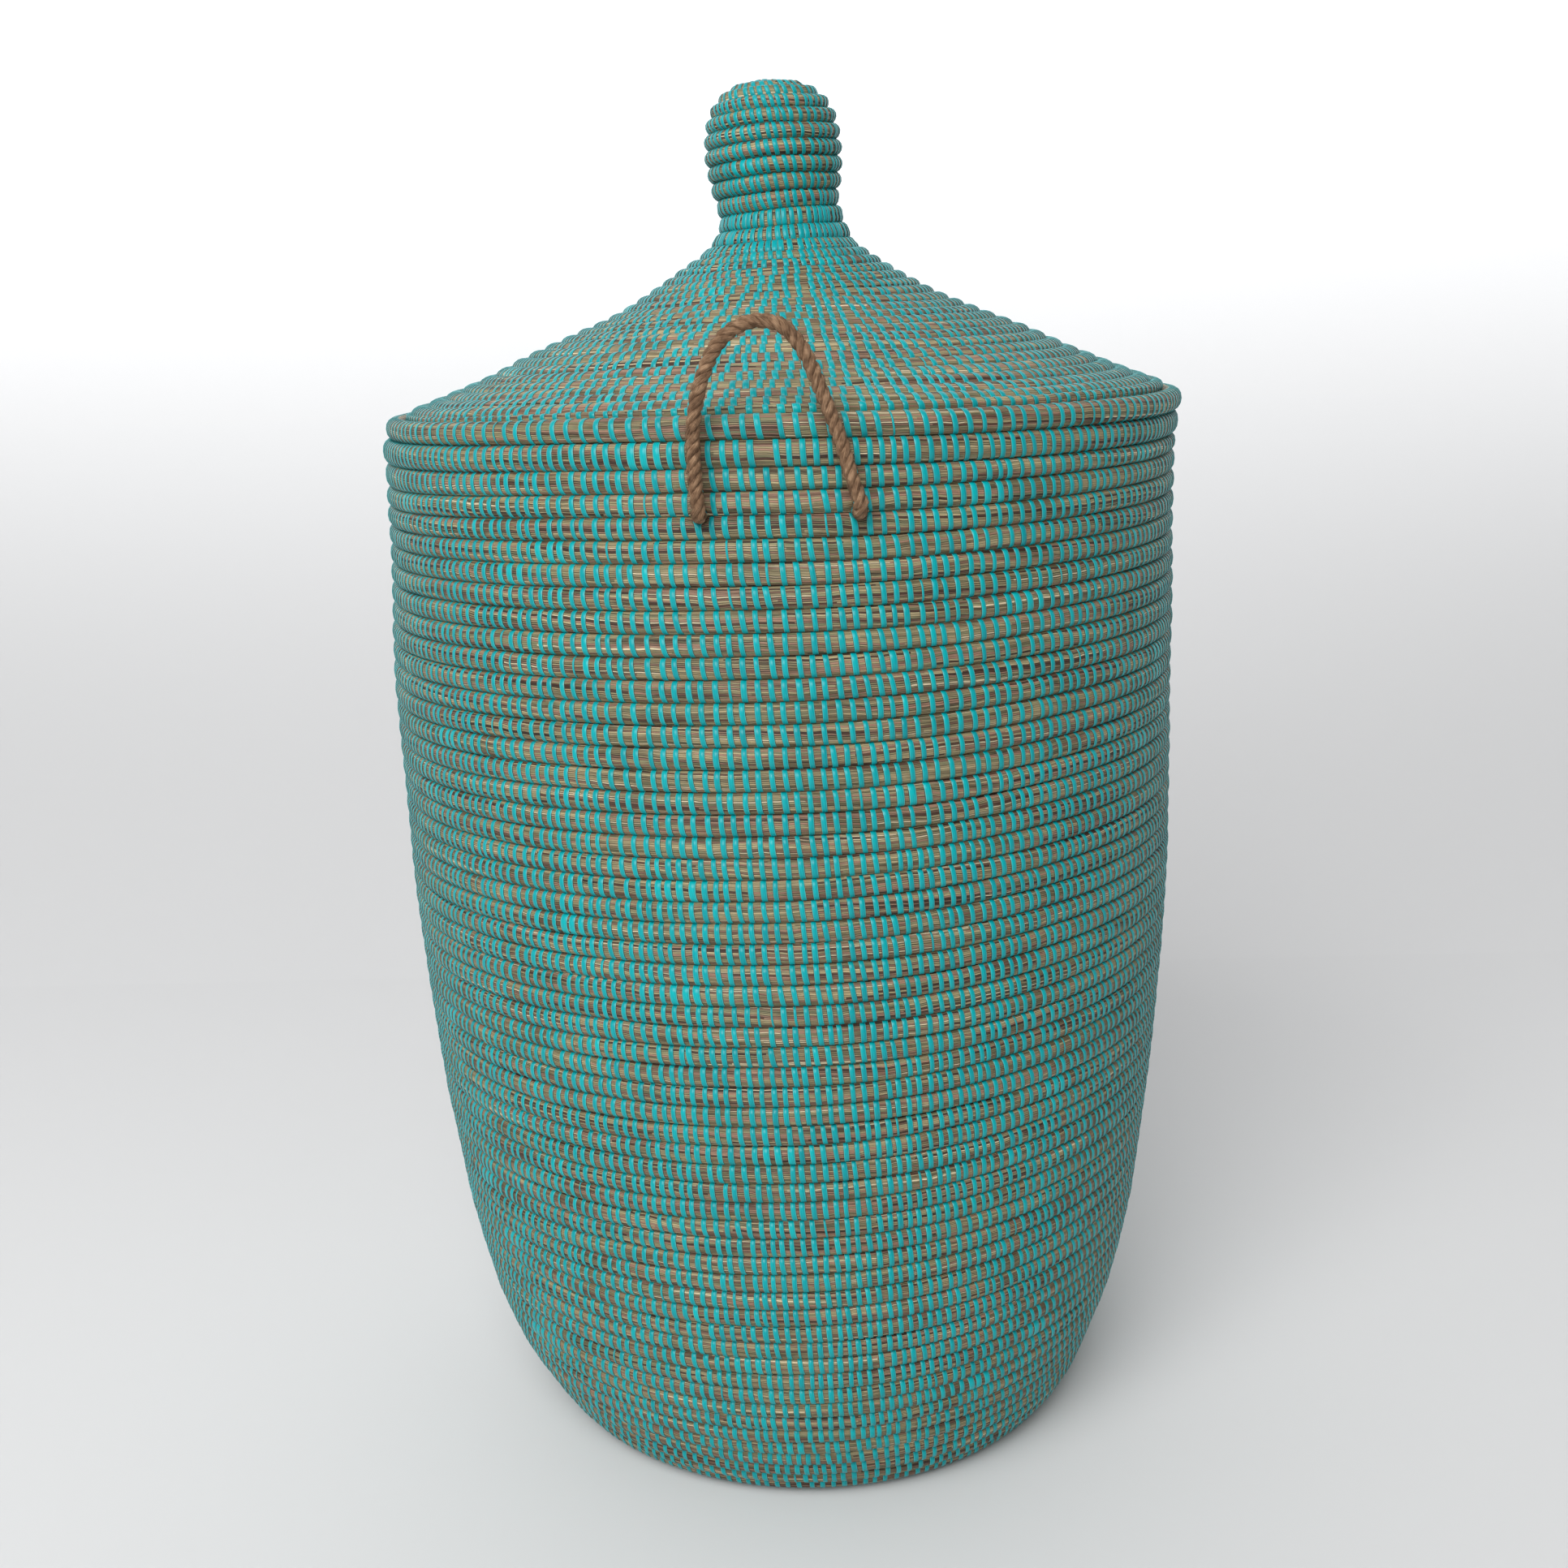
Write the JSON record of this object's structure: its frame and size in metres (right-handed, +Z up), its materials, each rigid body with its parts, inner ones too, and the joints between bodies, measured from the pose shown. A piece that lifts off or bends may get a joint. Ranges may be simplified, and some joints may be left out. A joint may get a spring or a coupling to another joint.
{
  "type": "laundry basket",
  "caption": "Tall round coiled-grass laundry basket sewn with plastic strip, with a lift-off conical lid, a knob of the same coil and rope loop handles.",
  "frame": {"origin": "middle of the base's flat underside, on the basket's upright axis", "axes": "+Z up along the basket's axis, -Y towards the front rope handle, +X to the right seen from the front"},
  "size_m": [0.45, 0.467, 0.7774],
  "materials": {
    "sewn_grass": "dry grass coil sewn with glossy turquoise plastic strip",
    "floor_grass": "dry grass coil sewn with glossy turquoise plastic strip",
    "rim_grass": "dry grass coil sewn closely with glossy turquoise plastic strip",
    "lid_grass": "dry grass coil sewn with glossy turquoise plastic strip",
    "ring_grass": "dry grass coil",
    "rope": "rough three-strand jute rope"
  },
  "bodies": {
    "basket": {"base_coil": "floor_grass", "wall_coil": "sewn_grass", "rim_course": "rim_grass", "front_left_rope_end": "rope", "front_right_rope_end": "rope", "rear_left_rope_end": "rope", "rear_right_rope_end": "rope"},
    "lid": {"lid_rim_roll": "lid_grass", "lid_cone_coil": "lid_grass", "lid_knob_coil": "lid_grass", "lid_locating_ring": "ring_grass"},
    "front_handle": {"front_handle_rope": "rope"},
    "rear_handle": {"rear_handle_rope": "rope"}
  },
  "joints": [
    {"name": "lid_lift", "type": "slide", "parent": "basket", "child": "lid", "axis": [0, 0, 1], "range_m": [0, 0.4]},
    {"name": "front_handle_swing", "type": "hinge", "parent": "basket", "child": "front_handle", "pos_m": [0, -0.23, 0.563], "axis": [1, 0, 0], "range_deg": [0, 170]},
    {"name": "rear_handle_swing", "type": "hinge", "parent": "basket", "child": "rear_handle", "pos_m": [0, 0.23, 0.563], "axis": [-1, 0, 0], "range_deg": [0, 170]}
  ]
}
